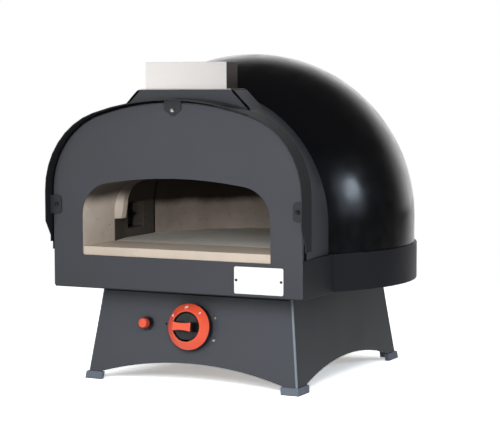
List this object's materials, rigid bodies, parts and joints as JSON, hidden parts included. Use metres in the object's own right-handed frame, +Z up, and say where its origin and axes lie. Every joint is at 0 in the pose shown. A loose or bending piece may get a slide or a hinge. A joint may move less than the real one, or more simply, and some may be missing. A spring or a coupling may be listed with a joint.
{
  "type": "portable gas pizza oven",
  "caption": "Domed countertop pizza oven: arched mouth with visor, flue sleeve, refractory chamber, side burner, and a flared stand with gas control knob and igniter.",
  "frame": {"origin": "middle of the whole oven's footprint, on the ground it stands on", "axes": "+Z up, -Y out of the mouth towards the user, +X to the right as the user faces the mouth"},
  "size_m": [0.5306, 0.5512, 0.5106],
  "materials": {
    "black_powder_coat": "satin charcoal powder coat on sheet steel",
    "gloss_black_coat": "semi-gloss black paint on spun steel",
    "brushed_stainless": "brushed stainless sheet",
    "zinc_steel": "zinc-plated steel",
    "brass": "machined brass and copper pipe",
    "cast_refractory": "rough cast refractory",
    "fired_tile": "unglazed fired tile",
    "ceramic_fibre": "matt ceramic fibre felt",
    "black_rubber": "moulded rubber",
    "black_plastic": "gloss black phenolic",
    "red_plastic": "semi-gloss red plastic",
    "white_plate": "white lacquered aluminium, bare of print",
    "white_ceramic": "glazed insulator"
  },
  "bodies": {
    "oven": {"stand": "black_powder_coat", "foot_front_left": "black_rubber", "foot_front_right": "black_rubber", "foot_rear_left": "black_rubber", "foot_rear_right": "black_rubber", "stand_bolt_front_left": "zinc_steel", "stand_bolt_front_right": "zinc_steel", "stand_bolt_rear_left": "zinc_steel", "stand_bolt_rear_right": "zinc_steel", "pan": "black_powder_coat", "dome": "gloss_black_coat", "vestibule": "black_powder_coat", "front_panel": "black_powder_coat", "visor": "black_powder_coat", "tab_screw_left": "zinc_steel", "tab_screw_top": "zinc_steel", "tab_screw_right": "zinc_steel", "nameplate": "white_plate", "rivet_left": "zinc_steel", "rivet_right": "zinc_steel", "chimney_base": "black_powder_coat", "chimney_collar": "brushed_stainless", "chimney_sleeve": "brushed_stainless", "flue_duct": "zinc_steel", "insulation_board": "ceramic_fibre", "insulation_blanket": "ceramic_fibre", "mouth_sill": "fired_tile", "hearth_stone": "fired_tile", "mouth_surround": "cast_refractory", "wall_left": "cast_refractory", "wall_right": "cast_refractory", "wall_rear": "cast_refractory", "throat_arch": "cast_refractory", "vault_front": "cast_refractory", "vault_rear": "cast_refractory", "burner_tube": "zinc_steel", "burner_bracket": "zinc_steel", "spark_electrode": "white_ceramic", "thermocouple": "brass", "injector_holder": "brass", "valve_body": "brass", "valve_bracket": "zinc_steel", "valve_screw_upper": "brushed_stainless", "valve_screw_lower": "brushed_stainless", "igniter_collar": "black_plastic", "igniter_nut": "zinc_steel", "igniter_housing": "black_plastic", "gas_inlet": "brass", "inlet_nut": "brass", "supply_pipe": "brass", "burner_feed_pipe": "brass"},
    "plug": {"valve_plug": "brass"},
    "knob": {"knob_body": "black_plastic", "knob_ring": "red_plastic", "knob_grip_cap": "red_plastic", "knob_spindle": "zinc_steel"},
    "button": {"igniter_button": "red_plastic"}
  },
  "joints": [
    {"name": "gas_valve_turn", "type": "hinge", "parent": "oven", "child": "plug", "pos_m": [0, -0.20132, 0.091], "axis": [0, -0.9892, 0.1462], "range_deg": [0, 135]},
    {"name": "knob_press", "type": "slide", "parent": "plug", "child": "knob", "axis": [0, 0.9892, -0.1462], "range_m": [0, 0.0035], "stiffness_N_per_m": 1500, "springref_m": -0.002},
    {"name": "igniter_press", "type": "slide", "parent": "oven", "child": "button", "axis": [0, 0.9892, -0.1462], "range_m": [0, 0.005], "stiffness_N_per_m": 900, "springref_m": -0.003}
  ]
}
